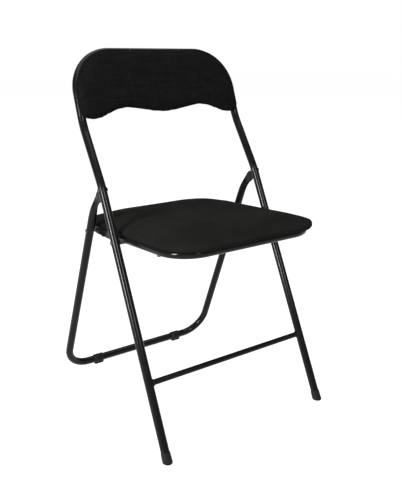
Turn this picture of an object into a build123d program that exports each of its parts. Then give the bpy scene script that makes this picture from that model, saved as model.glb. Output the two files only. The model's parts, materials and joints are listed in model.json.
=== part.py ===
from build123d import *

import os
from math import asin, atan, cos, degrees, hypot, radians, sin, sqrt, tan

# Folding chair: a padded seat and a padded back on a bent steel tube frame.
# X runs across the chair, +Y towards its back and +Z up, in millimetres. The floor is Z = 0 and
# the origin is the middle of the chair's footprint. Left (-X) and right (+X) are as seen by
# someone who faces the chair.

# ---------------------------------------------------------------- driving dimensions

# Tubes
FRAME_TUBE = 18.0            # outside diameter of the front, rear and seat tubes
TUBE_WALL = 1.2
CROSSBAR_TUBE = 12.0
FRAME_WIDTH = 436.0          # over the outsides of the two front legs
FOOT_SPREAD = 471.9          # on the floor, from the front leg axis to the rear leg axis

# Front frame, seen from the side; every angle is from the vertical
LEG_ANGLE = 25.3
WAIST_ANGLE = 32.6
BACK_ANGLE = 19.4
PIVOT_RISE = 102.9           # seat pivot up to the rivets that join the two frames
WAIST_RISE = 7.8             # from the pivot up to the lower bend
WAIST_LENGTH = 141.9         # lower bend to the bend under the back
BACK_LENGTH = 163.2          # bend under the back to the top of the loop
WAIST_RADIUS = 240.0
KNEE_RADIUS = 160.0
TOP_CORNER_RADIUS = 93.0
CROSSBAR_HEIGHT = 141.6

# Rear frame
FOLD_GAP = 3.7               # between front and rear tubes when the chair is folded flat
ELBOW_LENGTH = 56.0          # pivot to the elbow where the flattened end starts
NECK_CLEARANCE = 8.0         # bend down to where the round tube starts to flatten
ELBOW_TANGENT = 26.0         # elbow to either end of the bend there
FLAT_SPREAD = 5.0            # a flattened end is wider than the tube by this
FLAT_GAP = 0.2               # left between the two pressed walls
TIP_START = 0.6              # in tube diameters below the pivot, where the flat starts to widen
TIP_END = 1.1
# The tube is pressed thinner round the bend: (share of the bend, thickness, width), both in tube
# diameters
PRESSED_SECTIONS = ((0.0, 0.95, 1.03), (0.25, 0.82, 1.08), (0.5, 0.5, 1.13), (0.75, 0.16, 1.16))
REAR_FOOT_INSET = 27.0       # end of the corner bend to the middle of the foot
REAR_CORNER_RADIUS = 62.0

# Feet
CAP_LENGTH = 21.0
CAP_WALL = 0.8
CAP_FLARE = 0.9
CAP_SOLE_ROUNDING = 2.2
FOOT_SOLE = 4.0              # rubber between a tube and the floor
REAR_FOOT_LENGTH = 25.0
REAR_FOOT_WALL = 1.9
REAR_FOOT_BASE = 12.0        # width of the flat that stands on the floor
CAP_ROUNDING = 0.5           # on the upper rim of each cap
REAR_FOOT_BEVEL = 1.4

# Seat, measured in its own tilted plane from the seat pivot
SEAT_HEIGHT = 406.8          # floor to the seat pivot
SEAT_TILT = 3.2
SIDE_GAP = 13.3              # between a seat rail and the leg tube beside it
SEAT_TUBE_FRONT = 191.8      # pivot forward to the front run of the seat tube
SEAT_TUBE_REAR = 196.0       # pivot back to the rear run
SEAT_FRONT_RADIUS = 63.0
SEAT_REAR_RADIUS = 70.0
SEAT_PAD_FRONT_LAP = 17.2    # pad past the outside of the front run
SEAT_PAD_REAR_LAP = 9.5
SEAT_PAD_LAP = 0.8           # pad past the outside of each rail
SEAT_PAD_FRONT_RADIUS = 80.0
SEAT_PAD_REAR_RADIUS = 82.0
SEAT_PAD_EDGE = 15.0         # thickness at the edge
SEAT_CROWN = 8.0             # extra height of the middle
SEAT_CROWN_SLOPE = 72.0
SEAT_BOARD = 8.0

# Back
BACK_PAD_LAP = 5.5           # pad past the centre line of the back loop
BACK_PAD_THICKNESS = 13.0
BACK_PAD_EDGE_RADIUS = 5.0
BACK_BOARD = 4.0
BACK_REST_GAP = 0.15         # between the loop and what is screwed to it
BOW_TIP_HEIGHT = 9.0         # the pad's lower edge above the bend, at its two ends
BOW_LOBE_HEIGHT = 30.5
BOW_LOBE_PLACE = 105.0       # middle of the pad to the top of each hollow in its lower edge
BOW_DIP_HEIGHT = 17.4
BOW_TIP_RADIUS = 14.0
BOARD_INSET = 3.0            # both boards stay this far inside their pads

# Fold links
LINK_STUD_RISE = 0.1         # seat pivot up to the link's stud on the rear leg
LINK_PIN_CLEARANCE = 1.5     # between the heads of the link pins and the seat board
LINK_WIDTH = 16.0
LINK_THICKNESS = 3.0
LINK_WASHER = 3.0

# Fasteners
PIN = 6.0                    # rivets, pins and studs
PIN_HEAD = 10.0
PIN_HEAD_HEIGHT = 1.6
FLUSH_HEAD_HEIGHT = 0.8      # of the seat pivot and link rivets, outside the legs
RIVET_ROUNDING = 0.8         # share of a rivet head's height that is rounded
SPACER = 12.0
SCREW = 4.5
SCREW_HEAD = 9.0
SCREW_HEAD_HEIGHT = 2.4
SCREW_ROUNDING = 0.7
SCREW_BITE = 2.5             # wood left over the tip of each screw
SEAT_SCREW_FRONT_INSET = 8.8  # end of the front corner bend to the front pair
SEAT_SCREW_REAR_INSET = 14.0
BACK_SCREW_SIDE_HEIGHT = 58.0
BACK_SCREW_TOP_SPACING = 130.0
RUNNING_GAP = 0.1            # radial, a pin in a hole that turns on it
SIDE_CLEARANCE = 0.3         # between faces that slide past each other
TIP_CLEARANCE = 0.8          # round the flattened end, inside the leg

# ---------------------------------------------------------------- side view

TUBE_RADIUS = FRAME_TUBE / 2
HALF_WIDTH = FRAME_WIDTH / 2 - TUBE_RADIUS
PIVOT_HEIGHT = SEAT_HEIGHT + PIVOT_RISE
SEAT_PAD_FRONT = SEAT_TUBE_FRONT + TUBE_RADIUS + SEAT_PAD_FRONT_LAP
SEAT_PAD_REAR = SEAT_TUBE_REAR + TUBE_RADIUS + SEAT_PAD_REAR_LAP
LINK_PIN_RISE = TUBE_RADIUS - PIN_HEAD / 2 - LINK_PIN_CLEARANCE
PIVOT_SETBACK = PIVOT_HEIGHT * tan(radians(LEG_ANGLE))
STAND_OFF = FRAME_TUBE + FOLD_GAP
BAR_HEIGHT = TUBE_RADIUS + FOOT_SOLE

# The rear leg's line passes behind the pivot, by one tube and the fold gap.
REAR_RUN = FOOT_SPREAD - PIVOT_SETBACK
REAR_ANGLE = degrees(atan(REAR_RUN / PIVOT_HEIGHT) - asin(STAND_OFF / hypot(REAR_RUN, PIVOT_HEIGHT)))
ELBOW_BEND = degrees(asin(STAND_OFF / ELBOW_LENGTH))

# The seat pad's lower front edge and the rear feet set the ends of the footprint.
SEAT_SETBACK = SEAT_HEIGHT * tan(radians(LEG_ANGLE))
FRONT_REACH = (SEAT_SETBACK - SEAT_PAD_FRONT * cos(radians(SEAT_TILT))
               + TUBE_RADIUS * sin(radians(SEAT_TILT)))
REAR_FOOT_RADIUS = TUBE_RADIUS + REAR_FOOT_WALL
REAR_REACH = FOOT_SPREAD - BAR_HEIGHT * tan(radians(REAR_ANGLE)) + REAR_FOOT_RADIUS
FRONT_FOOT_Y = -(FRONT_REACH + REAR_REACH) / 2
REAR_FOOT_Y = FRONT_FOOT_Y + FOOT_SPREAD


def lean(start, angle, length):
    """The side-view point (y, z) at the end of a run that leans back from the vertical."""
    return (start[0] + length * sin(radians(angle)), start[1] + length * cos(radians(angle)))


def on_front_leg(height):
    return (FRONT_FOOT_Y + height * tan(radians(LEG_ANGLE)), height)


def on_rear_leg(height):
    return (REAR_FOOT_Y - height * tan(radians(REAR_ANGLE)), height)


def turned(point, centre, angle):
    """A side-view point turned about another, positive from +Y towards +Z."""
    y = point[0] - centre[0]
    z = point[1] - centre[1]
    c = cos(radians(angle))
    s = sin(radians(angle))
    return (centre[0] + y * c - z * s, centre[1] + y * s + z * c)


def distance(one, other):
    return hypot(one[0] - other[0], one[1] - other[1])


front_foot = on_front_leg(0)
pivot = on_front_leg(PIVOT_HEIGHT)
waist = on_front_leg(PIVOT_HEIGHT + WAIST_RISE)
knee = lean(waist, WAIST_ANGLE, WAIST_LENGTH)
back_top = lean(knee, BACK_ANGLE, BACK_LENGTH)
seat_pivot = on_front_leg(SEAT_HEIGHT)
crossbar_centre = on_front_leg(CROSSBAR_HEIGHT)
rear_bar = on_rear_leg(BAR_HEIGHT)
link_stud = on_rear_leg(SEAT_HEIGHT + LINK_STUD_RISE)

neck_run = sqrt(distance(pivot, (REAR_FOOT_Y, 0)) ** 2 - STAND_OFF ** 2)
elbow_run = neck_run - sqrt(ELBOW_LENGTH ** 2 - STAND_OFF ** 2)
elbow = lean((REAR_FOOT_Y, 0), -REAR_ANGLE, elbow_run)
bend_start = lean(elbow, -REAR_ANGLE, -ELBOW_TANGENT)
neck = lean(bend_start, -REAR_ANGLE, -NECK_CLEARANCE)
BEND_RADIUS = ELBOW_TANGENT / tan(radians(ELBOW_BEND / 2))
bend_centre = lean(bend_start, -REAR_ANGLE - 90, BEND_RADIUS)

# Folding: the rear frame turns until it is parallel to the front legs, and the seat until it lies
# between them.
FOLD_ANGLE = LEG_ANGLE + REAR_ANGLE
SEAT_FOLD_ANGLE = 90 - LEG_ANGLE + SEAT_TILT

# The link's two ends are seen from the seat, along it and above it. Its pin is as far from the
# stud when the chair is folded as when it is open.
stud_folded = turned(link_stud, pivot, -FOLD_ANGLE)
stud_from_seat = turned(link_stud, seat_pivot, SEAT_TILT)
folded_from_seat = turned(stud_folded, seat_pivot, SEAT_TILT - SEAT_FOLD_ANGLE)
open_u = stud_from_seat[0] - seat_pivot[0]
open_v = stud_from_seat[1] - seat_pivot[1]
folded_u = folded_from_seat[0] - seat_pivot[0]
folded_v = folded_from_seat[1] - seat_pivot[1]
LINK_PIN_BACK = ((open_u ** 2 + open_v ** 2 - folded_u ** 2 - folded_v ** 2) / 2
                 - (open_v - folded_v) * LINK_PIN_RISE) / (open_u - folded_u)
link_pin = turned((seat_pivot[0] + LINK_PIN_BACK, seat_pivot[1] + LINK_PIN_RISE), seat_pivot,
                  -SEAT_TILT)
LINK_LENGTH = distance(link_pin, link_stud)

# ---------------------------------------------------------------- places across the chair

LEG_INSIDE = HALF_WIDTH - TUBE_RADIUS
LEG_OUTSIDE = HALF_WIDTH + TUBE_RADIUS
RAIL_OUTSIDE = LEG_INSIDE - SIDE_GAP
RAIL_CENTRE = RAIL_OUTSIDE - TUBE_RADIUS
RAIL_INSIDE = RAIL_CENTRE - TUBE_RADIUS
LINK_INSIDE = RAIL_OUTSIDE + LINK_WASHER + SIDE_CLEARANCE
LINK_OUTSIDE = LINK_INSIDE + LINK_THICKNESS
SEAT_PAD_HALF = RAIL_OUTSIDE + SEAT_PAD_LAP
BACK_FACE = TUBE_RADIUS + BACK_REST_GAP
REAR_FOOT_PLACE = HALF_WIDTH - REAR_CORNER_RADIUS - REAR_FOOT_INSET
FLAT_WIDTH = FRAME_TUBE + FLAT_SPREAD
FLAT_THICKNESS = 2 * TUBE_WALL + FLAT_GAP
SLOT_WIDTH = FLAT_THICKNESS + 2 * SIDE_CLEARANCE
FLAT_TIP_RADIUS = TUBE_RADIUS - TUBE_WALL - TIP_CLEARANCE


def at(x, point):
    return (x, point[0], point[1])


def facing_out(x, point, x_dir=(0, 1, 0)):
    """A workplane in the side view, with its normal along +X."""
    return Plane(origin=at(x, point), x_dir=x_dir, z_dir=(1, 0, 0))


def across(x, point, angle):
    """A workplane square to a run that leans back from the vertical."""
    return Plane(origin=at(x, point), x_dir=(1, 0, 0), z_dir=(0, sin(radians(angle)), cos(radians(angle))))


seat_plane = across(0, seat_pivot, SEAT_TILT)
back_plane = Plane(origin=at(0, knee), x_dir=(1, 0, 0),
                   z_dir=(0, -cos(radians(BACK_ANGLE)), sin(radians(BACK_ANGLE))))


def bent_path(corners, radii):
    """Straight runs from corner to corner, with a tangent arc of the given radius in each bend."""
    corners = [Vector(*corner) for corner in corners]
    start = corners[0]
    with BuildLine() as path:
        for before, corner, after, radius in zip(corners, corners[1:], corners[2:], radii):
            to_before = (before - corner).normalized()
            to_after = (after - corner).normalized()
            half_angle = radians(to_before.get_angle(to_after) / 2)
            arc_start = corner + to_before * (radius / tan(half_angle))
            arc_end = corner + to_after * (radius / tan(half_angle))
            inwards = (to_before + to_after).normalized()
            middle = corner + inwards * (radius / sin(half_angle) - radius)
            Line(start, arc_start)
            ThreePointArc(arc_start, middle, arc_end)
            start = arc_end
        Line(start, corners[-1])
    return Wire(path.line.edges())


def start_plane(path):
    return Plane(origin=path @ 0, z_dir=path % 0)


# ---------------------------------------------------------------- front frame

leg_start = lean(front_foot, LEG_ANGLE, FOOT_SOLE / cos(radians(LEG_ANGLE))
                 + TUBE_RADIUS * tan(radians(LEG_ANGLE)))
front_path = bent_path(
    [at(HALF_WIDTH, leg_start), at(HALF_WIDTH, waist), at(HALF_WIDTH, knee),
     at(HALF_WIDTH, back_top), at(0, back_top)],
    [WAIST_RADIUS, KNEE_RADIUS, TOP_CORNER_RADIUS])
down_leg = (0, -sin(radians(LEG_ANGLE)), -cos(radians(LEG_ANGLE)))
slot_above = FLAT_TIP_RADIUS + 2
slot_below = ELBOW_LENGTH + 1
back_screw_places = [(HALF_WIDTH, BACK_SCREW_SIDE_HEIGHT), (-HALF_WIDTH, BACK_SCREW_SIDE_HEIGHT),
                     (BACK_SCREW_TOP_SPACING / 2, BACK_LENGTH),
                     (-BACK_SCREW_TOP_SPACING / 2, BACK_LENGTH)]

with BuildPart() as front_frame_tube:
    with BuildSketch(start_plane(front_path)):
        Circle(TUBE_RADIUS)
        Circle(TUBE_RADIUS - TUBE_WALL, mode=Mode.SUBTRACT)
    sweep(path=front_path)
    # Slot in the back of the leg, which takes the rear leg's flattened end
    with BuildSketch(facing_out(HALF_WIDTH, pivot, down_leg)):
        with Locations(((slot_below - slot_above) / 2, TUBE_RADIUS)):
            Rectangle(slot_above + slot_below, FRAME_TUBE)
    extrude(amount=SLOT_WIDTH / 2, both=True, mode=Mode.SUBTRACT)
    for hole in (pivot, seat_pivot):
        with BuildSketch(facing_out(HALF_WIDTH, hole)):
            Circle(PIN / 2)
        extrude(amount=FRAME_TUBE, both=True, mode=Mode.SUBTRACT)
    mirror(about=Plane.YZ)
    with BuildSketch(back_plane):
        with Locations(*back_screw_places):
            Circle(SCREW / 2)
    extrude(amount=FRAME_TUBE, both=True, mode=Mode.SUBTRACT)

with BuildPart() as front_crossbar:
    with BuildSketch(facing_out(0, crossbar_centre)):
        Circle(CROSSBAR_TUBE / 2)
        Circle(CROSSBAR_TUBE / 2 - TUBE_WALL, mode=Mode.SUBTRACT)
    extrude(amount=HALF_WIDTH)
    # The ends are coped to fit the legs.
    with BuildSketch(across(HALF_WIDTH, crossbar_centre, LEG_ANGLE)):
        Circle(TUBE_RADIUS)
    extrude(amount=FRAME_TUBE, both=True, mode=Mode.SUBTRACT)
    mirror(about=Plane.YZ)

with BuildPart() as front_foot_right:
    cap_radius = TUBE_RADIUS + CAP_WALL
    with BuildSketch(across(HALF_WIDTH, front_foot, LEG_ANGLE).offset(-TUBE_RADIUS)):
        Circle(cap_radius + CAP_FLARE)
    with BuildSketch(across(HALF_WIDTH, front_foot, LEG_ANGLE).offset(CAP_LENGTH)):
        Circle(cap_radius)
    loft()
    with BuildSketch(across(HALF_WIDTH, leg_start, LEG_ANGLE)):
        Circle(TUBE_RADIUS)
    extrude(amount=CAP_LENGTH, mode=Mode.SUBTRACT)
    top_rim = front_foot_right.edges().filter_by(GeomType.CIRCLE).sort_by(Axis.Z)[-2:]
    fillet(top_rim.sort_by(SortBy.RADIUS)[-1], CAP_ROUNDING)
    split(bisect_by=Plane.XY, keep=Keep.TOP)
    fillet(front_foot_right.faces().sort_by(Axis.Z)[0].edges(), CAP_SOLE_ROUNDING)

with BuildPart() as front_foot_left:
    mirror(front_foot_right.part, about=Plane.YZ)


def domed_pin(start, end, point, start_head, end_head):
    """A pin along X on the right side. Each head has its own height, and 0 leaves it out."""
    with BuildPart() as pin:
        with BuildSketch(facing_out(start, point)):
            Circle(PIN / 2)
        extrude(amount=end - start)
        if start_head:
            with BuildSketch(facing_out(start, point)):
                Circle(PIN_HEAD / 2)
            extrude(amount=-start_head)
            fillet(pin.edges().group_by(Axis.X)[0], start_head * RIVET_ROUNDING)
        if end_head:
            with BuildSketch(facing_out(end, point)):
                Circle(PIN_HEAD / 2)
            extrude(amount=end_head)
            fillet(pin.edges().group_by(Axis.X)[-1], end_head * RIVET_ROUNDING)
    return pin.part


# These rivets join the two frames, and the rear frame turns on them.
with BuildPart() as pivot_rivets:
    add(domed_pin(LEG_INSIDE, LEG_OUTSIDE, pivot, PIN_HEAD_HEIGHT, PIN_HEAD_HEIGHT))
    mirror(about=Plane.YZ)

# The seat turns on these, between the spacer and the inner head.
with BuildPart() as seat_pivot_rivets:
    add(domed_pin(RAIL_INSIDE - SIDE_CLEARANCE, LEG_OUTSIDE, seat_pivot,
                  PIN_HEAD_HEIGHT, FLUSH_HEAD_HEIGHT))
    mirror(about=Plane.YZ)

with BuildPart() as seat_pivot_spacers:
    with BuildSketch(facing_out(RAIL_OUTSIDE + SIDE_CLEARANCE, seat_pivot)):
        Circle(SPACER / 2)
        Circle(PIN / 2, mode=Mode.SUBTRACT)
    extrude(amount=SIDE_GAP - SIDE_CLEARANCE)
    mirror(about=Plane.YZ)

# ---------------------------------------------------------------- back


def back_outline(inset):
    """The back pad's outline, drawn in the plane of the back loop from the bend below it."""
    half = HALF_WIDTH + BACK_PAD_LAP - inset
    top = BACK_LENGTH + BACK_PAD_LAP - inset
    radius = TOP_CORNER_RADIUS + BACK_PAD_LAP - inset
    arc_place = radius * sin(radians(45))
    with BuildSketch() as outline:
        with BuildLine():
            Spline((-half, BOW_TIP_HEIGHT + inset),
                   (-BOW_LOBE_PLACE, BOW_LOBE_HEIGHT + inset),
                   (0, BOW_DIP_HEIGHT + inset),
                   (BOW_LOBE_PLACE, BOW_LOBE_HEIGHT + inset),
                   (half, BOW_TIP_HEIGHT + inset))
            Line((half, BOW_TIP_HEIGHT + inset), (half, top - radius))
            ThreePointArc((half, top - radius),
                          (half - radius + arc_place, top - radius + arc_place),
                          (half - radius, top))
            Line((half - radius, top), (radius - half, top))
            ThreePointArc((radius - half, top),
                          (radius - half - arc_place, top - radius + arc_place),
                          (-half, top - radius))
            Line((-half, top - radius), (-half, BOW_TIP_HEIGHT + inset))
        make_face()
        fillet(outline.vertices().group_by(Axis.Y)[0], BOW_TIP_RADIUS - inset)
    return outline.sketch


with BuildPart() as back_board:
    with BuildSketch(back_plane.offset(BACK_FACE)):
        add(back_outline(BOARD_INSET))
        with Locations(*back_screw_places):
            Circle(SCREW / 2, mode=Mode.SUBTRACT)
    extrude(amount=BACK_BOARD)

with BuildPart() as back_pad:
    with BuildSketch(back_plane.offset(BACK_FACE)):
        add(back_outline(0))
    extrude(amount=BACK_PAD_THICKNESS)
    front_face = back_pad.faces().sort_by(Axis(back_plane.origin, back_plane.z_dir))[-1]
    fillet(front_face.edges(), BACK_PAD_EDGE_RADIUS)
    # Pocket for the board
    with BuildSketch(back_plane.offset(BACK_FACE)):
        add(back_outline(BOARD_INSET))
    extrude(amount=BACK_BOARD, mode=Mode.SUBTRACT)


def screws(plane, places, length):
    """Pan-head screws that stand on a plane, with their heads below it."""
    with BuildPart() as group:
        with BuildSketch(plane):
            with Locations(*places):
                Circle(SCREW / 2)
        extrude(amount=length)
        with BuildSketch(plane):
            with Locations(*places):
                Circle(SCREW_HEAD / 2)
        extrude(amount=-SCREW_HEAD_HEIGHT)
        head_edges = group.edges().group_by(Axis(plane.origin, plane.z_dir))[0]
        fillet(head_edges, SCREW_HEAD_HEIGHT * SCREW_ROUNDING)
    return group.part


with BuildPart() as back_screws:
    add(screws(back_plane.offset(-TUBE_RADIUS), back_screw_places, TUBE_RADIUS + BACK_FACE + BACK_BOARD))

# ---------------------------------------------------------------- rear frame

rear_path = bent_path([at(0, rear_bar), at(HALF_WIDTH, rear_bar), at(HALF_WIDTH, neck)],
                      [REAR_CORNER_RADIUS])
end_direction = ((pivot[0] - elbow[0]) / ELBOW_LENGTH, (pivot[1] - elbow[1]) / ELBOW_LENGTH)
END_ANGLE = -(REAR_ANGLE + ELBOW_BEND)
bend_end = turned(bend_start, bend_centre, ELBOW_BEND)
down_end = (0, -end_direction[0], -end_direction[1])
# The plate runs into the pressed end by a little, so that the two are one solid.
flat_reach = distance(pivot, bend_end) + 1
tip_start = TIP_START * FRAME_TUBE
tip_end = TIP_END * FRAME_TUBE

with BuildPart() as rear_frame_tube:
    with BuildSketch(start_plane(rear_path)):
        Circle(TUBE_RADIUS)
        Circle(TUBE_RADIUS - TUBE_WALL, mode=Mode.SUBTRACT)
    sweep(path=rear_path)
    # Above the neck the tube is pressed flat.
    with BuildSketch(across(HALF_WIDTH, neck, -REAR_ANGLE)):
        Circle(TUBE_RADIUS)
    for share, thickness, width in PRESSED_SECTIONS:
        place = turned(bend_start, bend_centre, share * ELBOW_BEND)
        with BuildSketch(across(HALF_WIDTH, place, -REAR_ANGLE - share * ELBOW_BEND)):
            Ellipse(thickness * TUBE_RADIUS, width * TUBE_RADIUS)
    with BuildSketch(across(HALF_WIDTH, bend_end, END_ANGLE)):
        Ellipse(FLAT_THICKNESS / 2, FLAT_WIDTH / 2)
    loft()
    with BuildSketch(facing_out(HALF_WIDTH, pivot, down_end)):
        with BuildLine():
            Polyline((0, FLAT_TIP_RADIUS), (tip_start, FLAT_TIP_RADIUS),
                     (tip_end, FLAT_WIDTH / 2), (flat_reach, FLAT_WIDTH / 2),
                     (flat_reach, -FLAT_WIDTH / 2), (tip_end, -FLAT_WIDTH / 2),
                     (tip_start, -FLAT_TIP_RADIUS), (0, -FLAT_TIP_RADIUS))
            ThreePointArc((0, -FLAT_TIP_RADIUS), (-FLAT_TIP_RADIUS, 0), (0, FLAT_TIP_RADIUS))
        make_face()
        Circle(PIN / 2 + RUNNING_GAP, mode=Mode.SUBTRACT)
    extrude(amount=FLAT_THICKNESS / 2, both=True)
    with BuildSketch(facing_out(HALF_WIDTH, link_stud)):
        Circle(PIN / 2)
    extrude(amount=FRAME_TUBE, both=True, mode=Mode.SUBTRACT)
    mirror(about=Plane.YZ)

with BuildPart() as rear_foot_right:
    with BuildSketch(facing_out(REAR_FOOT_PLACE - REAR_FOOT_LENGTH / 2, rear_bar)):
        Circle(REAR_FOOT_RADIUS)
        with Locations((0, -BAR_HEIGHT / 2)):
            Rectangle(REAR_FOOT_BASE, BAR_HEIGHT)
    extrude(amount=REAR_FOOT_LENGTH)
    chamfer(rear_foot_right.edges().group_by(Axis.X)[0], REAR_FOOT_BEVEL)
    chamfer(rear_foot_right.edges().group_by(Axis.X)[-1], REAR_FOOT_BEVEL)
    with BuildSketch(facing_out(REAR_FOOT_PLACE - REAR_FOOT_LENGTH / 2, rear_bar)):
        Circle(TUBE_RADIUS)
    extrude(amount=REAR_FOOT_LENGTH, mode=Mode.SUBTRACT)

with BuildPart() as rear_foot_left:
    mirror(rear_foot_right.part, about=Plane.YZ)

with BuildPart() as rear_link_rivets:
    add(domed_pin(LEG_INSIDE, LEG_OUTSIDE, link_stud, 0, FLUSH_HEAD_HEIGHT))
    mirror(about=Plane.YZ)

# ---------------------------------------------------------------- seat


def seat_point(x, back, up=0):
    return tuple(seat_plane.from_local_coords((x, back, up)))


seat_path = bent_path(
    [seat_point(0, -SEAT_TUBE_FRONT), seat_point(RAIL_CENTRE, -SEAT_TUBE_FRONT),
     seat_point(RAIL_CENTRE, SEAT_TUBE_REAR), seat_point(0, SEAT_TUBE_REAR)],
    [SEAT_FRONT_RADIUS, SEAT_REAR_RADIUS])
screw_front = -(SEAT_TUBE_FRONT - SEAT_FRONT_RADIUS - SEAT_SCREW_FRONT_INSET)
screw_rear = SEAT_TUBE_REAR - SEAT_REAR_RADIUS - SEAT_SCREW_REAR_INSET
seat_screw_places = [(side * RAIL_CENTRE, place) for side in (-1, 1)
                     for place in (screw_front, screw_rear)]

with BuildPart() as seat_frame_tube:
    with BuildSketch(start_plane(seat_path)):
        Circle(TUBE_RADIUS)
        Circle(TUBE_RADIUS - TUBE_WALL, mode=Mode.SUBTRACT)
    sweep(path=seat_path)
    with BuildSketch(facing_out(RAIL_CENTRE, seat_pivot)):
        Circle(PIN / 2 + RUNNING_GAP)
    extrude(amount=FRAME_TUBE, both=True, mode=Mode.SUBTRACT)
    with BuildSketch(facing_out(RAIL_CENTRE, link_pin)):
        Circle(PIN / 2)
    extrude(amount=FRAME_TUBE, both=True, mode=Mode.SUBTRACT)
    mirror(about=Plane.YZ)
    with BuildSketch(seat_plane):
        with Locations(*seat_screw_places):
            Circle(SCREW / 2)
    extrude(amount=FRAME_TUBE, both=True, mode=Mode.SUBTRACT)


def seat_outline(inset):
    """The seat pad's outline in the seat's own plane, with wider corners at the back."""
    half = SEAT_PAD_HALF - inset
    front = -SEAT_PAD_FRONT + inset
    rear = SEAT_PAD_REAR - inset
    with BuildSketch() as outline:
        with Locations((0, (front + rear) / 2)):
            Rectangle(2 * half, rear - front)
        fillet(outline.vertices().group_by(Axis.Y)[0], SEAT_PAD_FRONT_RADIUS - inset)
        fillet(outline.vertices().group_by(Axis.Y)[-1], SEAT_PAD_REAR_RADIUS - inset)
    return outline.sketch


with BuildPart() as seat_board:
    with BuildSketch(seat_plane.offset(TUBE_RADIUS)):
        add(seat_outline(BOARD_INSET))
    extrude(amount=SEAT_BOARD)
    with BuildSketch(seat_plane.offset(TUBE_RADIUS)):
        with Locations(*seat_screw_places):
            Circle(SCREW / 2)
    extrude(amount=SEAT_BOARD - SCREW_BITE, mode=Mode.SUBTRACT)

with BuildPart() as seat_pad:
    with BuildSketch(seat_plane.offset(TUBE_RADIUS)):
        add(seat_outline(0))
    extrude(amount=SEAT_PAD_EDGE)
    with BuildSketch(seat_plane.offset(TUBE_RADIUS + SEAT_PAD_EDGE)):
        add(seat_outline(0))
    extrude(amount=SEAT_CROWN, taper=SEAT_CROWN_SLOPE)
    # Pocket for the board
    with BuildSketch(seat_plane.offset(TUBE_RADIUS)):
        add(seat_outline(BOARD_INSET))
    extrude(amount=SEAT_BOARD, mode=Mode.SUBTRACT)

with BuildPart() as seat_screws:
    add(screws(seat_plane.offset(-TUBE_RADIUS), seat_screw_places,
               FRAME_TUBE + SEAT_BOARD - SCREW_BITE))

# ---------------------------------------------------------------- fold links

with BuildPart() as link_pins:
    add(domed_pin(RAIL_INSIDE, LINK_OUTSIDE + SIDE_CLEARANCE, link_pin,
                  PIN_HEAD_HEIGHT, PIN_HEAD_HEIGHT))
    mirror(about=Plane.YZ)

with BuildPart() as link_washers:
    with BuildSketch(facing_out(RAIL_OUTSIDE, link_pin)):
        Circle(PIN_HEAD / 2)
        Circle(PIN / 2, mode=Mode.SUBTRACT)
    extrude(amount=LINK_WASHER)
    mirror(about=Plane.YZ)

along_link = (0, (link_stud[0] - link_pin[0]) / LINK_LENGTH, (link_stud[1] - link_pin[1]) / LINK_LENGTH)

with BuildPart() as fold_link_right:
    with BuildSketch(facing_out(LINK_INSIDE, link_pin, along_link)):
        with Locations((LINK_LENGTH / 2, 0)):
            SlotCenterToCenter(LINK_LENGTH, LINK_WIDTH)
        Circle(PIN / 2 + RUNNING_GAP, mode=Mode.SUBTRACT)
        with Locations((LINK_LENGTH, 0)):
            Circle(PIN / 2, mode=Mode.SUBTRACT)
    extrude(amount=LINK_THICKNESS)

with BuildPart() as fold_link_left:
    mirror(fold_link_right.part, about=Plane.YZ)

with BuildPart() as link_stud_right:
    with BuildSketch(facing_out(LINK_INSIDE, link_stud)):
        Circle(PIN / 2)
    extrude(amount=LEG_INSIDE - SIDE_CLEARANCE - LINK_INSIDE)
    with BuildSketch(facing_out(LINK_OUTSIDE, link_stud)):
        Circle(PIN_HEAD / 2)
        Circle(PIN / 2, mode=Mode.SUBTRACT)
    extrude(amount=LINK_THICKNESS / 2)

with BuildPart() as link_stud_left:
    mirror(link_stud_right.part, about=Plane.YZ)

# ---------------------------------------------------------------- files

pieces = {
    "front_frame_tube": front_frame_tube,
    "front_crossbar": front_crossbar,
    "front_foot_left": front_foot_left,
    "front_foot_right": front_foot_right,
    "pivot_rivets": pivot_rivets,
    "seat_pivot_rivets": seat_pivot_rivets,
    "seat_pivot_spacers": seat_pivot_spacers,
    "back_board": back_board,
    "back_pad": back_pad,
    "back_screws": back_screws,
    "rear_frame_tube": rear_frame_tube,
    "rear_foot_left": rear_foot_left,
    "rear_foot_right": rear_foot_right,
    "rear_link_rivets": rear_link_rivets,
    "seat_frame_tube": seat_frame_tube,
    "seat_board": seat_board,
    "seat_pad": seat_pad,
    "seat_screws": seat_screws,
    "link_pins": link_pins,
    "link_washers": link_washers,
    "fold_link_left": fold_link_left,
    "fold_link_right": fold_link_right,
    "link_stud_left": link_stud_left,
    "link_stud_right": link_stud_right,
}

os.makedirs("parts", exist_ok=True)
for name, piece in pieces.items():
    piece.part.label = name
    export_step(piece.part, f"parts/{name}.step")
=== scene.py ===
# %% [markdown]
# # A padded folding chair
#
# The steel frame, the boards, the rivets and the rubber feet come ready from a CAD model, which is
# loaded here and never changed. What is left for Blender is what a CAD program does badly: two
# upholstered pads that swell over their boards, the fabric turned under the seat and stapled, the
# weld beads on the crossbar, and a procedural material for every surface.
#
# Everything is in metres. X runs across the chair, +Y towards its back and +Z up. The floor is
# Z = 0.

import json
import math

import bmesh
import bpy
import numpy as np
from mathutils import Matrix, Vector


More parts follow.
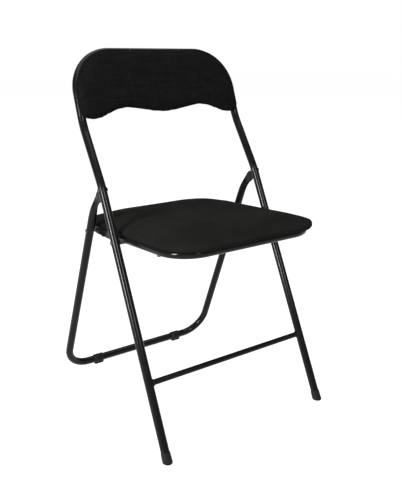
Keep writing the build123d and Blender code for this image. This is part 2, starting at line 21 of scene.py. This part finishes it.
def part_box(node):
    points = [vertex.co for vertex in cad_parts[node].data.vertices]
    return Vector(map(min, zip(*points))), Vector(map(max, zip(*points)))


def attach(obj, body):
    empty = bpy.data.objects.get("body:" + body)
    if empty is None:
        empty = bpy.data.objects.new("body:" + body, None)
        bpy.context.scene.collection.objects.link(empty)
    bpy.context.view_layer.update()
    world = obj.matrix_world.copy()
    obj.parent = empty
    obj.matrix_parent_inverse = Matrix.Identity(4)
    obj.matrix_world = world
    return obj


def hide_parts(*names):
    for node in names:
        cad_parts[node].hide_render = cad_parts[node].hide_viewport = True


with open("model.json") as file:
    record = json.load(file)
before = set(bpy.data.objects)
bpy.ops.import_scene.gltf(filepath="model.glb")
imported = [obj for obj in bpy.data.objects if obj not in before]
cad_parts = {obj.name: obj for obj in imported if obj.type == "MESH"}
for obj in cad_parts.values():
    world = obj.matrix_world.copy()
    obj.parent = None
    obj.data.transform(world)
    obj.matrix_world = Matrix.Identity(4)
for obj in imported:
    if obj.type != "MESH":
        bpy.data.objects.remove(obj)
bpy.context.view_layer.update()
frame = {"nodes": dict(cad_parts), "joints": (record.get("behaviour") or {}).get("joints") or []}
nodes = frame["nodes"]

# %% [markdown]
# ## The two tilted places
#
# The seat and the back both lean, so their pads are easiest to model flat at the origin and then
# to move as a whole. `SEAT_PLACE` starts at the seat pivot, with Y towards the back along the seat
# and Z out of the cushion. `BACK_PLACE` starts at the bend under the back, with Y up along the
# back and Z towards the sitter. Both follow from the joints' places and the frame's angles.

# %% Seat place and back place
LEG_LEAN = math.radians(25.3)
WAIST_LEAN = math.radians(32.6)
BACK_LEAN = math.radians(19.4)
SEAT_TILT = math.radians(3.2)
WAIST_RISE = 0.0078
WAIST_LENGTH = 0.1419
TUBE_RADIUS = 0.009

joint_places = {joint["name"]: Vector(joint["pos_m"]) for joint in frame["joints"]}


def leaning(angle, length):
    """A run in the side view that leans back from the vertical."""
    return Vector((0, math.sin(angle), math.cos(angle))) * length


waist = joint_places["rear_fold"] + leaning(LEG_LEAN, WAIST_RISE / math.cos(LEG_LEAN))
knee = waist + leaning(WAIST_LEAN, WAIST_LENGTH)
SEAT_PLACE = Matrix.Translation(joint_places["seat_fold"]) @ Matrix.Rotation(-SEAT_TILT, 4, "X")
BACK_PLACE = Matrix.Translation(knee) @ Matrix.Rotation(math.pi / 2 - BACK_LEAN, 4, "X")


def flat_box(node, place):
    """Lowest and highest corner of a CAD node, measured in a tilted place."""
    inverse = place.inverted()
    points = np.array([inverse @ vertex.co for vertex in nodes[node].data.vertices])
    return Vector(points.min(axis=0)), Vector(points.max(axis=0))


seat_low, seat_high = flat_box("seat_pad", SEAT_PLACE)
back_low, back_high = flat_box("back_pad", BACK_PLACE)
print("seat pad", [round(size, 4) for size in seat_high - seat_low])
print("back pad", [round(size, 4) for size in back_high - back_low])

# %% [markdown]
# ## Camera
#
# The camera stands in front of the chair and to its left, about as high as the top of the back.
# Its lens is shifted down instead of the camera being tipped further, as in product photography.

# %% Camera
CAMERA_SPOT = Vector((-0.8262, -1.1800, 0.7885))
CAMERA_TURN = (Matrix.Rotation(math.radians(-36.13), 4, "Z")
               @ Matrix.Rotation(math.radians(90 - 13.08), 4, "X")
               @ Matrix.Rotation(math.radians(0.21), 4, "Z"))

bpy.ops.object.camera_add()
camera = bpy.context.object
camera.name = "camera"
camera.matrix_world = Matrix.Translation(CAMERA_SPOT) @ CAMERA_TURN
camera.data.lens = 46.74
camera.data.sensor_width = 36.0
camera.data.shift_y = -0.0913
camera.data.dof.use_dof = False
bpy.context.scene.camera = camera

# %% [markdown]
# ## Studio
#
# Black gloss paint shows only what it mirrors. Two upright softboxes put the two thin lines on
# every tube, one large soft light overhead keeps the shadows faint, and the surroundings are dim
# apart from the paper, so that the paint stays black between the lines.

# %% Softboxes and surroundings
LIGHT_TARGET = Vector((0, 0, 0.42))


def softbox(name, azimuth, elevation, distance, size, power):
    """An area light that faces the chair. Azimuth 0 is in front of it and -90 on its left."""
    turn = math.radians(azimuth)
    rise = math.radians(elevation)
    away = Vector((math.sin(turn) * math.cos(rise), -math.cos(turn) * math.cos(rise), math.sin(rise)))
    bpy.ops.object.light_add(type="AREA", location=LIGHT_TARGET + away * distance)
    light = bpy.context.object
    light.name = name
    light.rotation_euler = away.to_track_quat("Z", "Y").to_euler()
    light.data.shape = "RECTANGLE"
    light.data.size, light.data.size_y = size
    light.data.energy = power


softbox("softbox_left", -76, 12, 2.6, (0.6, 0.95), 120)
softbox("softbox_right", -4, 30, 2.8, (0.6, 1.2), 48)
softbox("softbox_overhead", 0, 89, 3.0, (4.0, 4.0), 150)

world = bpy.data.worlds.new("studio")
world.use_nodes = True
bpy.context.scene.world = world
sky = world.node_tree.nodes["Background"]
seen = world.node_tree.nodes.new("ShaderNodeLightPath")
brightness = world.node_tree.nodes.new("ShaderNodeMapRange")
brightness.inputs["To Min"].default_value = 0.16
brightness.inputs["To Max"].default_value = 1.0
sky.inputs["Color"].default_value = (1, 1, 1, 1)
world.node_tree.links.new(seen.outputs["Is Camera Ray"], brightness.inputs["Value"])
world.node_tree.links.new(brightness.outputs["Result"], sky.inputs["Strength"])
bpy.context.scene.view_settings.view_transform = "Standard"

bpy.ops.mesh.primitive_plane_add(size=40)
floor = bpy.context.object
floor.name = "studio_floor"

# %% [markdown]
# ## Shader maths as plain expressions
#
# `Value` wraps a node's output, so that a pattern is written as `a * 2 + b`. `Finish` holds one
# material. Its patterns start from object coordinates in metres, so they stick to a piece, keep
# their real scale and need no UV map.

# %% Value and Finish


class Value:
    """A node's output that takes part in arithmetic."""

    def __init__(self, finish, socket):
        self.finish = finish
        self.socket = socket

    def maths(self, operation, first, second):
        return self.finish.node("ShaderNodeMath", {"operation": operation}, {0: first, 1: second})

    def __add__(self, other):
        return self.maths("ADD", self, other)

    def __sub__(self, other):
        return self.maths("SUBTRACT", self, other)

    def __rsub__(self, other):
        return self.maths("SUBTRACT", other, self)

    def __mul__(self, other):
        return self.maths("MULTIPLY", self, other)

    __radd__ = __add__
    __rmul__ = __mul__


class Finish:
    """One procedural material on a Principled surface."""

    def __init__(self, name, constants):
        self.material = bpy.data.materials.new(name)
        self.material.use_nodes = True
        self.tree = self.material.node_tree
        self.surface = self.tree.nodes["Principled BSDF"]
        for socket, number in constants.items():
            self.surface.inputs[socket].default_value = number
        self.place = self.node("ShaderNodeTexCoord", output="Object")

    def node(self, kind, settings=None, sockets=None, output=0):
        """Adds a node, sets its settings, then fills its sockets with numbers or links."""
        node = self.tree.nodes.new(kind)
        for name, setting in (settings or {}).items():
            setattr(node, name, setting)
        for name, filling in (sockets or {}).items():
            self.fill(filling, node.inputs[name])
        return Value(self, node.outputs[output])

    def fill(self, filling, socket):
        if isinstance(filling, Value):
            self.tree.links.new(filling.socket, socket)
        else:
            socket.default_value = filling

    def axis(self, letter):
        return self.node("ShaderNodeSeparateXYZ", None, {"Vector": self.place}, letter)

    def sine(self, angle):
        return self.node("ShaderNodeMath", {"operation": "SINE"}, {0: angle})

    def clouds(self, per_metre, detail=2.0, stretch=(1, 1, 1)):
        """Noise from 0 to 1. A stretch below 1 draws it out along that axis."""
        where = self.node("ShaderNodeMapping", None, {"Vector": self.place, "Scale": stretch})
        return self.node("ShaderNodeTexNoise", None,
                         {"Vector": where, "Scale": per_metre, "Detail": detail})

    def between(self, pattern, low, high):
        """Maps low..high to 0..1 with soft ends."""
        return self.node("ShaderNodeMapRange", {"interpolation_type": "SMOOTHSTEP"},
                         {"Value": pattern, "From Min": low, "From Max": high})

    def colour(self, pattern, dark, light):
        mix = self.node("ShaderNodeMix", {"data_type": "RGBA"},
                        {"Factor": pattern, 6: (*dark, 1), 7: (*light, 1)}, 2)
        self.fill(mix, self.surface.inputs["Base Color"])

    def roughness(self, pattern):
        self.fill(pattern, self.surface.inputs["Roughness"])

    def relief(self, pattern, height, strength):
        """Bump where 1 in the pattern stands proud by the height."""
        bump = self.node("ShaderNodeBump", None,
                         {"Height": pattern, "Distance": height, "Strength": strength})
        self.fill(bump, self.surface.inputs["Normal"])


# %% [markdown]
# ## Black paint
#
# Stoved black paint on steel tube. Its mirror lines waver a little, because the paint dries with
# a fine ripple, and its gloss drifts from place to place.

# %% Paint


def black_paint():
    finish = Finish("black_paint", {"Specular IOR Level": 0.11})
    drift = finish.clouds(30)
    ripple = finish.clouds(330, detail=1.0)
    finish.colour(drift, (0.0035, 0.0035, 0.0035), (0.006, 0.006, 0.006))
    finish.roughness(drift * 0.06 + 0.10)
    finish.relief(ripple, 0.00003, 0.12)
    return finish.material


PAINT = black_paint()

# %% [markdown]
# ## Small metal parts
#
# Rivets, screws, pins and washers are black zinc: metal that shows through a dark, mottled skin.
# The staples under the seat are bare wire.

# %% Zinc and wire


def metal(name, dark, light, roughness):
    finish = Finish(name, {"Metallic": 1.0})
    mottle = finish.clouds(420, detail=4.0)
    finish.colour(mottle, dark, light)
    finish.roughness(mottle * 0.25 + roughness)
    finish.relief(mottle, 0.00005, 0.4)
    return finish.material


ZINC = metal("black_zinc", (0.03, 0.03, 0.03), (0.085, 0.085, 0.085), 0.28)
WIRE = metal("staple_wire", (0.32, 0.32, 0.33), (0.55, 0.55, 0.56), 0.22)

# %% [markdown]
# ## Rubber and board
#
# Rubber is dull, with a faint bloom in soft patches and a fine pore. The seat's board is pressed
# fibre, with short flecks that lie mostly across the chair. The board of the back is covered in
# cloth on both sides, so it gets the cloth.

# %% Rubber and board


def rubber():
    finish = Finish("black_rubber", {"Specular IOR Level": 0.1})
    bloom = finish.clouds(60, detail=4.0)
    pores = finish.clouds(1800)
    finish.colour(bloom, (0.004, 0.004, 0.004), (0.0075, 0.0075, 0.007))
    finish.roughness(bloom * 0.16 + 0.36)
    finish.relief(pores, 0.00008, 0.4)
    return finish.material


def pressed_fibre():
    finish = Finish("pressed_fibre", {})
    flecks = finish.clouds(260, detail=6.0, stretch=(0.35, 1, 1))
    patches = finish.clouds(14)
    finish.colour(flecks * 0.7 + patches * 0.3, (0.075, 0.042, 0.022), (0.20, 0.12, 0.065))
    finish.roughness(flecks * 0.2 + 0.62)
    finish.relief(flecks, 0.00025, 0.6)
    return finish.material


RUBBER = rubber()
BOARD = pressed_fibre()

# %% [markdown]
# ## The two fabrics
#
# The seat has a short velvet. Its tone drifts where the nap lies one way or the other, with faint
# strokes along the chair, and its pile is a very fine bump. The back has a plain weave of black
# yarn: two sets of threads cross each other, and each set has its own slubs. One thread is 0.8 mm
# wide.

# %% Velvet and woven cloth
THREAD = 0.0008


def velvet():
    finish = Finish("black_velvet", {"Specular IOR Level": 0.03, "Sheen Weight": 0.005})
    nap = finish.between(finish.clouds(9, detail=3.0), 0.3, 0.7)
    strokes = finish.clouds(70, detail=3.0, stretch=(1, 0.3, 1))
    pile = finish.clouds(2400)
    finish.colour(nap * 0.5 + strokes * 0.25 + pile * 0.25,
                  (0.0016, 0.0016, 0.0012), (0.0074, 0.0074, 0.0066))
    finish.roughness(pile * 0.1 + 0.86)
    finish.relief(pile * 0.6 + strokes * 0.4, 0.0003, 0.6)
    return finish.material


def woven_cloth():
    finish = Finish("black_cloth", {"Specular IOR Level": 0.03})
    turns = math.pi / THREAD
    warp = finish.sine(finish.axis("X") * turns)
    weft = finish.sine(finish.axis("Z") * turns)
    weave = warp * weft * 0.5 + 0.5
    slubs_across = finish.clouds(220, stretch=(0.12, 1, 1))
    slubs_up = finish.clouds(220, stretch=(1, 0.12, 0.12))
    tone = weave * 0.2 + slubs_across * 0.45 + slubs_up * 0.35
    finish.colour(finish.between(tone, 0.35, 0.68),
                  (0.0022, 0.0022, 0.0022), (0.0044, 0.0044, 0.0043))
    finish.roughness(weave * 0.12 + 0.82)
    finish.relief(weave * 0.7 + slubs_across * 0.3, 0.0003, 0.6)
    return finish.material


VELVET = velvet()
CLOTH = woven_cloth()

# %% [markdown]
# ## Studio paper
#
# The paper is lit from below, as on a light table: it stays white up to the horizon and keeps only
# a faint shadow under the feet.

# %% Studio paper
paper = Finish("studio_paper", {"Specular IOR Level": 0.0, "Emission Strength": 0.96,
                                "Emission Color": (1, 1, 1, 1)})
paper.colour(paper.clouds(3), (0.19, 0.19, 0.19), (0.21, 0.21, 0.21))
paper.roughness(0.9)
floor.data.materials.append(paper.material)

# %% [markdown]
# ## Finishes on the CAD nodes
#
# A CAD node keeps its shape and only gets a better surface.

# %% Finish each node
FINISHES = {
    "front_frame_tube": PAINT, "front_crossbar": PAINT, "seat_frame_tube": PAINT,
    "rear_frame_tube": PAINT, "fold_link_left": PAINT, "fold_link_right": PAINT,
    "front_foot_left": RUBBER, "front_foot_right": RUBBER,
    "rear_foot_left": RUBBER, "rear_foot_right": RUBBER,
    "seat_board": BOARD, "back_board": CLOTH,
}

for name, node in nodes.items():
    node.data.materials.clear()
    node.data.materials.append(FINISHES.get(name, ZINC))

# %% [markdown]
# ## Modelling helpers
#
# Blender's edit-mode tools act on what is selected. `pick` selects vertices, edges or faces by
# where they are, so that a script can bevel or inset exactly the ones that a hand would click.

# %% Picking and finishing


def deselect():
    bpy.ops.object.select_all(action="DESELECT")


def start_edit(piece):
    deselect()
    piece.select_set(True)
    bpy.context.view_layer.objects.active = piece
    bpy.ops.object.mode_set(mode="EDIT")


def end_edit():
    bpy.ops.object.mode_set(mode="OBJECT")


def pick(kind, wanted):
    """In edit mode, selects each VERT, EDGE or FACE whose corners are all wanted."""
    bpy.ops.mesh.select_mode(type=kind)
    bpy.ops.mesh.select_all(action="DESELECT")
    piece = bpy.context.edit_object
    mesh = bmesh.from_edit_mesh(piece.data)
    elements = {"VERT": mesh.verts, "EDGE": mesh.edges, "FACE": mesh.faces}[kind]
    for element in elements:
        corners = [element] if kind == "VERT" else element.verts
        element.select_set(all(wanted(corner.co) for corner in corners))
    bmesh.update_edit_mesh(piece.data)


def add_modifier(piece, kind, settings):
    """Adds a modifier and applies it."""
    deselect()
    piece.select_set(True)
    bpy.context.view_layer.objects.active = piece
    modifier = piece.modifiers.new(kind.lower(), kind)
    for name, setting in settings.items():
        setattr(modifier, name, setting)
    bpy.ops.object.modifier_apply(modifier=modifier.name)


def block(name, low, high, material):
    """A cuboid between two corners, ready to be shaped."""
    deselect()
    low = Vector(low)
    high = Vector(high)
    bpy.ops.mesh.primitive_cube_add(size=1, location=(low + high) / 2, scale=high - low)
    bpy.ops.object.transform_apply(location=True, rotation=True, scale=True)
    piece = bpy.context.object
    piece.name = name
    piece.data.materials.append(material)
    return piece


def settle(piece, place, body):
    """Moves a finished piece's mesh to its place, and hangs it on a body."""
    piece.data.transform(place)
    piece.data.update()
    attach(piece, body)


# %% [markdown]
# ## How a pad is filled
#
# A pad starts as a block of foam, a little smaller than the finished pad. It is remeshed to even
# squares and becomes cloth. The rim that is stapled to the board is pinned, gentle air pressure
# fills the rest, and no point may travel further than a set cap. The free part is then smoothed,
# because the squares leave faint steps. The outcome is crowned in the middle and tight at the
# edge, which no bevel gives.

# %% Filling
CLOTH_STEPS = 20
CLOTH_STIFFNESS = 20
SMOOTHINGS = 10


def points_of(piece):
    """The points of a mesh as an array with one row for each."""
    flat = np.empty(len(piece.data.vertices) * 3)
    piece.data.vertices.foreach_get("co", flat)
    return flat.reshape(-1, 3)


def fill_pad(piece, voxel, held, pressure, cap):
    """Swells a block as cloth under pressure, above the held height, by at most the cap."""
    add_modifier(piece, "REMESH", {"mode": "VOXEL", "voxel_size": voxel})
    start = points_of(piece)
    swell(piece, np.flatnonzero(start[:, 2] < held), pressure)
    travel = points_of(piece) - start
    length = np.maximum(np.linalg.norm(travel, axis=1), 1e-9)
    share = np.minimum(1.0, cap / length)
    piece.data.vertices.foreach_set("co", (start + travel * share[:, None]).ravel())
    print(piece.name, "swelled by up to", round(float((length * share).max()) * 1000, 1), "mm")
    start_edit(piece)
    pick("VERT", lambda corner: corner.z > held)
    bpy.ops.mesh.vertices_smooth(factor=0.5, repeat=SMOOTHINGS)
    end_edit()
    add_modifier(piece, "SUBSURF", {"levels": 1, "render_levels": 1})
    bpy.ops.object.shade_smooth()


def swell(piece, pinned, pressure):
    """Runs the cloth simulation, with the pinned points fixed, and applies its last step."""
    group = piece.vertex_groups.new(name="stapled")
    group.add([int(index) for index in pinned], 1.0, "REPLACE")
    cloth = piece.modifiers.new("cloth", "CLOTH")
    cloth.settings.vertex_group_mass = group.name
    cloth.settings.use_pressure = True
    cloth.settings.uniform_pressure_force = pressure
    cloth.settings.effector_weights.gravity = 0
    cloth.settings.tension_stiffness = CLOTH_STIFFNESS
    cloth.settings.compression_stiffness = CLOTH_STIFFNESS
    cloth.point_cache.frame_start = 1
    cloth.point_cache.frame_end = CLOTH_STEPS
    for step in range(1, CLOTH_STEPS + 1):
        bpy.context.scene.frame_set(step)
    bpy.ops.object.modifier_apply(modifier=cloth.name)
    bpy.context.scene.frame_set(1)
    piece.vertex_groups.clear()


# %% [markdown]
# ## The seat's corners
#
# The seat is a rectangle whose four corners are rounded, a little more at the back. Every layer
# of it gets the same corners, by a bevel on its four upright edges.

# %% Corners
FRONT_CORNER = 0.080
REAR_CORNER = 0.082
CORNER_SEGMENTS = 14
RIM = 1e-4                    # how near a corner must be to count as lying on a plane


def round_corners(low, high):
    """Bevels the upright edges of the block that is being edited."""
    for side, radius in ((low.y, FRONT_CORNER), (high.y, REAR_CORNER)):
        pick("EDGE", lambda corner: abs(corner.y - side) < RIM and abs(abs(corner.x) - high.x) < RIM)
        chosen = bmesh.from_edit_mesh(bpy.context.edit_object.data)
        for edge in chosen.edges:
            upright = abs(edge.verts[0].co.z - edge.verts[1].co.z) > RIM
            edge.select_set(edge.select and upright)
        bmesh.update_edit_mesh(bpy.context.edit_object.data)
        bpy.ops.mesh.bevel(offset=radius, segments=CORNER_SEGMENTS, affect="EDGES")


# %% [markdown]
# ## Fabric turned under the seat
#
# Under the seat the velvet is folded round the board and ends in a ring, and the cushion's own
# base closes the middle as a dust cover. A thin plate with the seat's corners, inset on both faces
# and bridged from one to the other, is just such a ring. It becomes part of the cushion, because
# it is the same piece of cloth.

# %% Seat hem
HEM_INSET = 0.0005            # from the pad's outline to the fold
HEM_WIDTH = 0.040
HEM_TOP = TUBE_RADIUS + 0.0030
HEM_THICKNESS = 0.0038        # reaches a little above the board's underside and below it


def seat_hem():
    low = seat_low + Vector((HEM_INSET, HEM_INSET, 0))
    high = seat_high - Vector((HEM_INSET, HEM_INSET, 0))
    under = HEM_TOP - HEM_THICKNESS
    hem = block("seat_hem", (low.x, low.y, under), (high.x, high.y, HEM_TOP), VELVET)
    start_edit(hem)
    round_corners(low, high)
    for height in (HEM_TOP, under):
        pick("FACE", lambda corner: abs(corner.z - height) < RIM)
        bpy.ops.mesh.inset(thickness=HEM_WIDTH, depth=0)
    inside = high.x - HEM_WIDTH + RIM
    pick("FACE", lambda corner: abs(corner.x) < inside and low.y + HEM_WIDTH - RIM < corner.y
         and corner.y < high.y - HEM_WIDTH + RIM)
    bpy.ops.mesh.bridge_edge_loops()
    end_edit()
    add_modifier(hem, "BEVEL", {"width": 0.0004, "segments": 2, "limit_method": "ANGLE"})
    return hem


def join(piece, others):
    """Joins other meshes into the piece."""
    deselect()
    for other in [*others, piece]:
        other.select_set(True)
    bpy.context.view_layer.objects.active = piece
    bpy.ops.object.join()


# %% [markdown]
# ## Seat cushion
#
# The foam is a flat block with four large corners. Its upper rim is rolled over, its lower rim is
# drawn in under the board, and its top rises in two shallow steps that the filling smooths out.
# Up to `SEAT_HELD`, just above the board, the fabric is pulled tight and stays where it is.

# %% Seat cushion
PAD_EDGE = 0.0145             # thickness of the foam at its edge
SEAT_ROLL = 0.0055            # rounding of the upper rim
SEAT_TUCK = 0.0018            # rounding of the lower rim
SEAT_EASE = 0.0018            # how far the fabric stands out from the CAD pad's sides
SEAT_WRAP = 0.0006            # how far it sinks past the top of the tube
SEAT_HELD = TUBE_RADIUS + 0.0108
SEAT_STEPS = ((0.045, 0.0035), (0.06, 0.0025))
SEAT_SQUARE = 0.0055


def seat_cushion():
    ease = Vector((SEAT_EASE, SEAT_EASE, 0))
    low = seat_low - ease
    high = seat_high + ease
    bottom = TUBE_RADIUS - SEAT_WRAP
    top = TUBE_RADIUS + PAD_EDGE
    cushion = block("seat_cushion", (low.x, low.y, bottom), (high.x, high.y, top), VELVET)
    start_edit(cushion)
    round_corners(low, high)
    pick("EDGE", lambda corner: corner.z < bottom + RIM)
    bpy.ops.mesh.bevel(offset=SEAT_TUCK, segments=3, affect="EDGES")
    pick("EDGE", lambda corner: corner.z > top - RIM)
    bpy.ops.mesh.bevel(offset=SEAT_ROLL, segments=5, affect="EDGES")
    pick("FACE", lambda corner: corner.z > top - RIM)
    for width, rise in SEAT_STEPS:
        bpy.ops.mesh.inset(thickness=width, depth=rise)
    end_edit()
    fill_pad(cushion, SEAT_SQUARE, SEAT_HELD, pressure=4, cap=0.006)
    join(cushion, [seat_hem()])
    settle(cushion, SEAT_PLACE, "seat")
    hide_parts("seat_pad")
    return cushion


seat_cushion()

# %% [markdown]
# ## Back cushion
#
# The back follows the tube loop at the top and the sides. Its lower edge is a bow, with a dip in
# the middle, a hollow on each side and a rounded tip over each tube. Such an outline is drawn
# quickest as a closed curve of twelve points, which gets its thickness and its soft rim from the
# curve's own extrude and bevel.

# %% Back cushion
TOP_CORNER = 0.0985
ARC_HANDLE = 0.5523           # a Bezier handle of this share of the radius gives a quarter circle
DIP = (0.0, 0.0174)
HOLLOW = (0.105, 0.0305)
TIP_LOW = (0.199, 0.0105)
TIP_SIDE = (0.2145, 0.024)
BACK_REAR = 0.0050            # heights over the back's own plane
BACK_FRONT = 0.0175
BACK_HELD = BACK_REAR + 0.003
BACK_RIM = 0.0045
BACK_SQUARE = 0.0045


def back_outline_points():
    """The right half of the outline from the dip up, as (place, handle before, handle after)."""
    half = back_high.x
    top = back_high.y
    shoulder = top - TOP_CORNER
    reach = TOP_CORNER * ARC_HANDLE
    return [
        (DIP, None, None),
        (HOLLOW, None, None),
        (TIP_LOW, None, None),
        ((half, TIP_SIDE[1]), (0, -0.008), (0, 0.012)),
        ((half, shoulder), (0, -0.012), (0, reach)),
        ((half - TOP_CORNER, top), (reach, 0), (-0.04, 0)),
        ((0, top), None, None),
    ]


def back_outline(name, front, rear, rim, inset=0.0):
    """The outline, drawn in by the inset, as a slab between two heights with a rounded rim."""
    right = back_outline_points()
    left = [((-place[0], place[1]), after and (-after[0], after[1]), before and (-before[0], before[1]))
            for place, before, after in right[-2:0:-1]]
    deselect()
    bpy.ops.curve.primitive_bezier_circle_add(location=(0, 0, 0))
    drawing = bpy.context.object
    drawing.name = name
    spline = drawing.data.splines[0]
    corners = right + left
    spline.bezier_points.add(len(corners) - len(spline.bezier_points))
    for point, (place, before, after) in zip(spline.bezier_points, corners):
        kind = "AUTO" if before is None else "FREE"
        point.handle_left_type = kind
        point.handle_right_type = kind
        point.co = (*place, 0)
        if before is not None:
            point.handle_left = (place[0] + before[0], place[1] + before[1], 0)
            point.handle_right = (place[0] + after[0], place[1] + after[1], 0)
    drawing.data.dimensions = "2D"
    drawing.data.fill_mode = "BOTH"
    drawing.data.resolution_u = 12
    drawing.data.offset = -rim - inset
    drawing.data.bevel_depth = rim
    drawing.data.bevel_resolution = 3
    drawing.data.extrude = (front - rear) / 2 - rim
    bpy.ops.object.convert(target="MESH")
    slab = bpy.context.object
    slab.data.transform(Matrix.Translation((0, 0, (front + rear) / 2)))
    start_edit(slab)
    bpy.ops.mesh.select_all(action="SELECT")
    bpy.ops.mesh.remove_doubles(threshold=1e-5)
    bpy.ops.mesh.normals_make_consistent(inside=False)
    end_edit()
    return slab


def back_cushion():
    cushion = back_outline("back_cushion", BACK_FRONT, BACK_REAR, BACK_RIM)
    cushion.data.materials.append(CLOTH)
    fill_pad(cushion, BACK_SQUARE, BACK_HELD, pressure=3, cap=0.003)
    settle(cushion, BACK_PLACE, "front_frame")
    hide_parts("back_pad")
    return cushion


back_cushion()

# %% [markdown]
# ## Staples
#
# The turned-under velvet is held by a row of wire staples. One staple is modelled as a rounded
# bar, and copied along the hem: evenly on the straight sides and round each corner, each a degree
# or two out of line, as a hand-held stapler leaves them.

# %% Staples
STAPLE_SIZE = Vector((0.0105, 0.0011, 0.0006))
STAPLE_INSET = 0.039
STAPLE_SPACING = 0.036
STAPLE_WANDER = 0.05          # in radians


def staple_line():
    """Places along the hem as (x, y, direction in radians)."""
    half = seat_high.x - STAPLE_INSET
    front = seat_low.y + STAPLE_INSET
    rear = seat_high.y - STAPLE_INSET
    radius = FRONT_CORNER - STAPLE_INSET
    places = []
    across = half - radius
    for x in np.arange(-across, across, STAPLE_SPACING):
        places += [(x, front, 0), (x, rear, 0)]
    for y in np.arange(front + radius, rear - radius, STAPLE_SPACING):
        places += [(half, y, math.pi / 2), (-half, y, math.pi / 2)]
    for turn in np.radians((45, 135, 225, 315)):
        middle = Vector((math.copysign(half - radius, math.cos(turn)),
                         front + radius if math.sin(turn) < 0 else rear - radius))
        places.append((middle.x + radius * math.cos(turn), middle.y + radius * math.sin(turn),
                       turn + math.pi / 2))
    return places


def seat_staples():
    random = np.random.default_rng(7)
    model = block("seat_staples", -STAPLE_SIZE / 2, STAPLE_SIZE / 2, WIRE)
    add_modifier(model, "BEVEL", {"width": 0.00025, "segments": 2})
    height = HEM_TOP - HEM_THICKNESS - STAPLE_SIZE.z / 4
    copies = []
    for x, y, direction in staple_line():
        copy = model.copy()
        copy.data = model.data.copy()
        bpy.context.collection.objects.link(copy)
        turn = Matrix.Rotation(direction + random.normal(0, STAPLE_WANDER), 4, "Z")
        copy.data.transform(Matrix.Translation((x, y, height)) @ turn)
        copies.append(copy)
    bpy.data.objects.remove(model)
    staples = copies.pop()
    join(staples, copies)
    staples.name = "seat_staples"
    settle(staples, SEAT_PLACE, "seat")
    print("staples:", len(copies) + 1)
    return staples


seat_staples()

# %% [markdown]
# ## Panel behind the back
#
# From behind, the board of the back is hidden by a thin panel in the same cloth, set just inside
# the tube loop. It has the pad's outline, drawn in by the curve's own offset.

# %% Back panel
PANEL_INSET = 0.012
PANEL_FRONT = 0.0094
PANEL_REAR = 0.0079
PANEL_RIM = 0.0007


def back_panel():
    panel = back_outline("back_panel", PANEL_FRONT, PANEL_REAR, PANEL_RIM, PANEL_INSET)
    panel.data.materials.append(CLOTH)
    add_modifier(panel, "WELD", {"merge_threshold": 1e-5})
    bpy.ops.object.shade_smooth_by_angle(angle=math.radians(35))
    settle(panel, BACK_PLACE, "front_frame")
    return panel


back_panel()

# %% [markdown]
# ## Weld beads
#
# The crossbar is welded to the legs all round. A bead is a thin ring round each end of the bar,
# where it meets the leg.

# %% Weld beads
BAR_RADIUS = 0.006
BEAD_RADIUS = 0.0016
BEAD_SETBACK = 0.0022         # from the tips of the coped end to the inner side of the leg


def weld_bead(side):
    """The bead at one end of the crossbar: -1 is the left end and 1 the right."""
    low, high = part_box("front_crossbar")
    centre = (Vector(low) + Vector(high)) / 2
    end = Vector(high).x - BEAD_SETBACK
    deselect()
    bpy.ops.mesh.primitive_torus_add(location=(side * end, centre.y, centre.z),
                                     rotation=(0, math.pi / 2, 0), major_segments=48,
                                     minor_segments=12, major_radius=BAR_RADIUS + 0.0006,
                                     minor_radius=BEAD_RADIUS)
    bpy.ops.object.transform_apply(location=True, rotation=True, scale=True)
    bead = bpy.context.object
    bead.name = "weld_bead_left" if side < 0 else "weld_bead_right"
    bead.data.materials.append(PAINT)
    bpy.ops.object.shade_smooth()
    settle(bead, Matrix.Identity(4), "front_frame")
    return bead


for side in (-1, 1):
    weld_bead(side)
